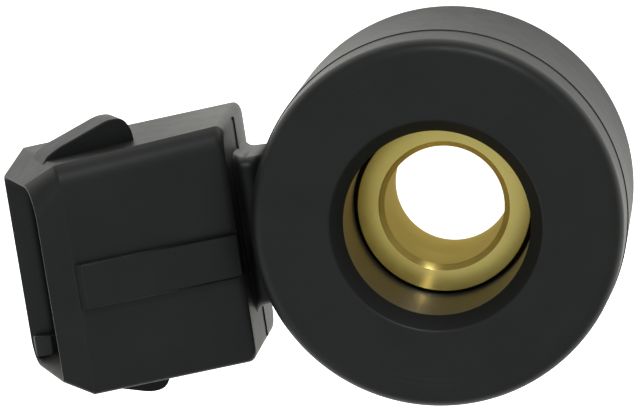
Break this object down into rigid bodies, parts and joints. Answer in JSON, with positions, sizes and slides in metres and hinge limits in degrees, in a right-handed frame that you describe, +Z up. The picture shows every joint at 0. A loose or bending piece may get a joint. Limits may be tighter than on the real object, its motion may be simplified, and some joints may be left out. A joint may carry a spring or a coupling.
{
  "type": "engine knock sensor",
  "caption": "Ring-shaped engine knock sensor: clamped piezo stack on a bolt sleeve, moulded over, with a connector hood that leans up to one side.",
  "frame": {"origin": "centre of the bolt bore on the contact face of the sleeve", "axes": "+Z up the bolt bore away from the contact face, -X towards the connector hood, +Y across the hood"},
  "size_m": [0.0432, 0.0258, 0.0185],
  "materials": {
    "moulding": "satin black glass-filled nylon",
    "turned_brass": "turned",
    "contact_strip": "tin-plated",
    "insulator": "smooth",
    "ceramic": "fired ceramic with silvered faces",
    "spring_steel": "oiled",
    "resistor": "printed chip"
  },
  "bodies": {
    "root": {"housing": "moulding", "mounting_sleeve": "turned_brass", "insulating_tube": "insulator", "lower_insulator": "insulator", "lower_contact": "contact_strip", "piezo_ring": "ceramic", "upper_contact": "contact_strip", "upper_insulator": "insulator", "disc_spring": "spring_steel", "seismic_mass": "turned_brass", "ground_pin": "contact_strip", "signal_pin": "contact_strip", "bleed_resistor": "resistor"}
  },
  "joints": []
}
